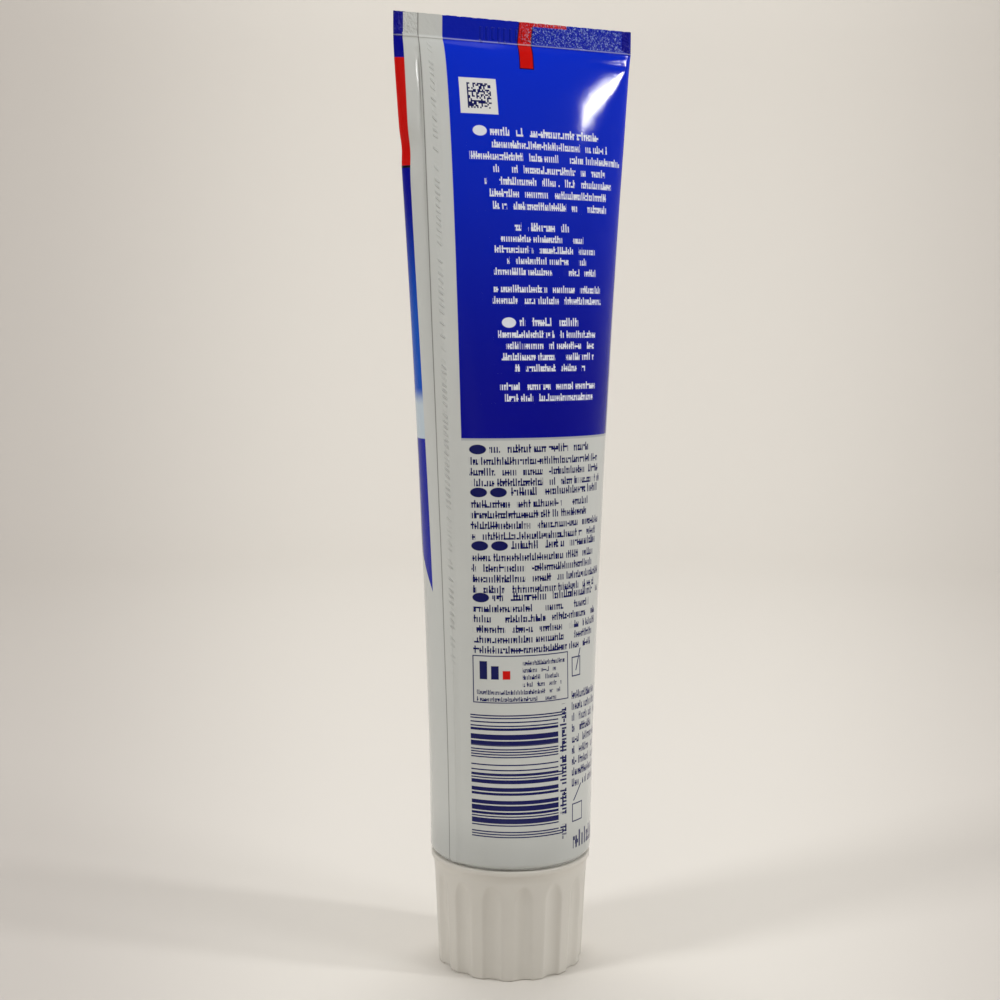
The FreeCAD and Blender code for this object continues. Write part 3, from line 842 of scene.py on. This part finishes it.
def paste_finish():
    """Pale blue gel, wet and smooth."""
    finish = Finish("paste", {"Roughness": 0.15, "IOR": 1.4, "Subsurface Weight": 0.3,
                              "Subsurface Scale": 0.5,
                              "Subsurface Radius": (0.003, 0.005, 0.006)})
    place = finish.place()
    stir = finish.noise(place, 300.0, 2.0)
    finish.feed(finish.shader.inputs["Base Color"],
                finish.mix(stir, rgb(150, 200, 225), rgb(185, 220, 235)))
    finish.feed(finish.shader.inputs["Normal"], finish.bump(stir, 0.0003, 0.3))
    return finish.material


def build_paste(material):
    """The paste, as a body that follows the sleeve from inside and stops short of the crimp."""
    paste = bmesh.new()
    around, rings = 72, 60
    inset, foot, top = 1.6, FOOT + 1.4, CRIMP_LEVEL - 9.0
    loops = []
    for ring in range(rings + 1):
        height = foot + (top - foot) * math.sin(math.pi / 2 * ring / rings)
        half_width, half_depth = oval_at(height)
        turns = [2 * math.pi * step / around for step in range(around)]
        loops.append([paste.verts.new(Vector(((half_width - inset) * math.cos(turn),
                                              (half_depth - inset) * math.sin(turn), height)) * MM)
                      for turn in turns])
    for low, high in zip(loops, loops[1:]):
        for step in range(around):
            after = (step + 1) % around
            paste.faces.new((low[step], low[after], high[after], high[step]))
    paste.faces.new(loops[-1])
    paste.faces.new(loops[0][::-1])
    bmesh.ops.recalc_face_normals(paste, faces=paste.faces)
    piece = keep(paste, "paste_fill", "tube", material, "toothpaste")
    return piece


def build_flange(material):
    """The shoulder's rim, which shows in the narrow gap between the sleeve and the cap."""
    outer, inner, foot, top = 16.45, 15.8, CAP_HEIGHT + 0.03, FOOT + 0.03
    line = [(inner, foot), (outer - 0.1, foot), (outer, foot + 0.1), (outer, top), (inner, top),
            (inner, foot)]
    rim = spun(in_metres(line), steps=120)
    piece = keep(rim, "shoulder_rim", "tube", material)
    return piece


def build_thread(material):
    """A helical ridge round the neck, tapered off at both ends."""
    turns, pitch, steps_per_turn = 1.75, 3.2, 72
    height, root, crest = 1.5, NECK_RADIUS - 0.12, NECK_RADIUS + 0.55
    thread = bmesh.new()
    section = [(root, -height / 2), (crest, -height / 6), (crest, height / 6), (root, height / 2)]
    start = NECK_END + 2.2
    verts = [thread.verts.new((radius * MM, 0.0, (start + rise) * MM)) for radius, rise in section]
    ring = thread.faces.new(verts)
    steps = int(turns * steps_per_turn)
    bmesh.ops.spin(thread, geom=[ring], cent=(0, 0, 0), axis=(0, 0, 1),
                   dvec=(0, 0, pitch / steps_per_turn * MM), angle=2 * math.pi * turns,
                   steps=steps, use_merge=False, use_duplicate=False)
    bmesh.ops.recalc_face_normals(thread, faces=thread.faces)
    total = turns * pitch
    for vert in thread.verts:
        radius = math.hypot(vert.co.x, vert.co.y) / MM
        along = (vert.co.z / MM - start) / total
        taper = smooth(-0.06, 0.06, along) * smooth(1.08, 0.94, along)
        target = root + (radius - root) * float(taper)
        vert.co.x *= target / radius
        vert.co.y *= target / radius
    piece = keep(thread, "neck_thread", "tube", material)
    return piece


# The studio

def build_stage():
    """A pale round floor that curves up into a plain wall all round."""
    line = [(0.0, 0.0), (FLOOR_RADIUS / 2, 0.0)]
    for sine, cosine in quarter(16):
        line.append((FLOOR_RADIUS + FLOOR_BEND * sine, FLOOR_BEND * (1 - cosine)))
    line.append((FLOOR_RADIUS + FLOOR_BEND, WALL_TOP))
    bowl = spun(line, steps=96)
    bmesh.ops.reverse_faces(bowl, faces=bowl.faces)
    floor = show(bowl, "studio_bowl", stage_paper())


def stage_paper():
    """Pale paper with painted shade, a little darker towards both sides of the picture."""
    paper = Finish("studio_paper", {"Roughness": 0.9, "Specular IOR Level": 0.2})
    across, deep, _ = paper.split(paper.place())
    turn = math.radians(CAMERA_AZIMUTH)
    aside = across * math.cos(turn) + deep * math.sin(turn)
    ahead = deep * math.cos(turn) - across * math.sin(turn) + CAMERA_DISTANCE * MM
    spread = aside / ahead
    # painted shade towards both sides of the picture
    shade = spread.ramp(-0.08, -0.34) + spread.ramp(0.14, 0.42)
    paper.feed(paper.shader.inputs["Base Color"],
               paper.mix(shade, rgb(223, 219, 212), rgb(198, 193, 187)))
    return paper.material


def add_lamp(name, azimuth, elevation, distance, size, power, aim=TUBE_MIDDLE, mirrored=True):
    """A lamp of so many watts at a distance from its aim, in degrees and metres; azimuth 0
    faces the back panel. One that isn't mirrored shows in no reflection."""
    lamp = bpy.data.lights.new(name, "AREA")
    lamp.shape = "RECTANGLE"
    lamp.size, lamp.size_y = size
    lamp.energy = power
    holder = bpy.data.objects.new(name, lamp)
    bpy.context.scene.collection.objects.link(holder)
    holder.visible_camera = False
    holder.visible_glossy = mirrored
    turn, rise = math.radians(azimuth), math.radians(elevation)
    away = Vector((math.sin(turn) * math.cos(rise), -math.cos(turn) * math.cos(rise),
                   math.sin(rise)))
    holder.location = Vector(aim) + away * distance
    holder.rotation_euler = away.to_track_quat("Z", "Y").to_euler()


def build_light():
    """A dim room, soft lamps from above and both sides, a small bright one on the right, and a
    lamp for the wall behind."""
    world = bpy.data.worlds.new("room")
    world.use_nodes = True
    room = world.node_tree.nodes["Background"]
    room.inputs["Color"].default_value = (1.0, 1.0, 1.0, 1.0)
    room.inputs["Strength"].default_value = 0.2
    bpy.context.scene.world = world
    add_lamp("overhead", 0.0, 88.0, 0.6, (0.45, 0.45), 0.78)
    add_lamp("right", 48.7, 28.6, 0.7, (0.065, 0.065), 1.3)
    add_lamp("right_window", 33.0, 25.0, 0.7, (0.15, 0.1), 0.8, mirrored=False)
    add_lamp("left_window", -85.0, 29.0, 0.7, (0.14, 0.1), 1.8)
    add_lamp("backdrop", -25.0, 45.0, 0.8, (0.5, 0.3), 5.6, WALL_BEHIND)


def build_camera():
    """The photograph's viewpoint."""
    camera = bpy.data.cameras.new("camera")
    camera.sensor_width = SENSOR
    camera.lens = SENSOR * FOCAL_PIXELS / FRAME_PIXELS
    camera.clip_start = 0.01
    holder = bpy.data.objects.new("camera", camera)
    bpy.context.scene.collection.objects.link(holder)
    turn = math.radians(CAMERA_AZIMUTH)
    aim = turn + CAMERA_AIM
    pitch, roll = math.radians(CAMERA_PITCH), math.radians(CAMERA_ROLL)
    forward = Vector((-math.sin(aim) * math.cos(pitch), math.cos(aim) * math.cos(pitch),
                      -math.sin(pitch)))
    level = forward.cross(Vector((0, 0, 1))).normalized()
    upright = level.cross(forward)
    right = level * math.cos(roll) + upright * math.sin(roll)
    up = upright * math.cos(roll) - level * math.sin(roll)
    spot = Vector((math.sin(turn) * CAMERA_DISTANCE, -math.cos(turn) * CAMERA_DISTANCE,
                   CAMERA_HEIGHT)) * MM
    facing = Matrix((right, up, -forward)).transposed().to_4x4()
    holder.matrix_world = Matrix.Translation(spot) @ facing
    bpy.context.scene.camera = holder


def dress(node, material):
    """Give a carried-over solid its finish."""
    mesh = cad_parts[node].data
    mesh.materials.clear()
    mesh.materials.append(material)


build_camera()
build_light()
build_stage()
build_sleeve(sleeve_finish())
build_cap(cap_finish())
shoulder_plastic = shoulder_finish()
dress("shoulder_nozzle", shoulder_plastic)
build_thread(shoulder_plastic)
build_flange(shoulder_plastic)
build_paste(paste_finish())
bpy.context.scene.view_settings.view_transform = "Standard"
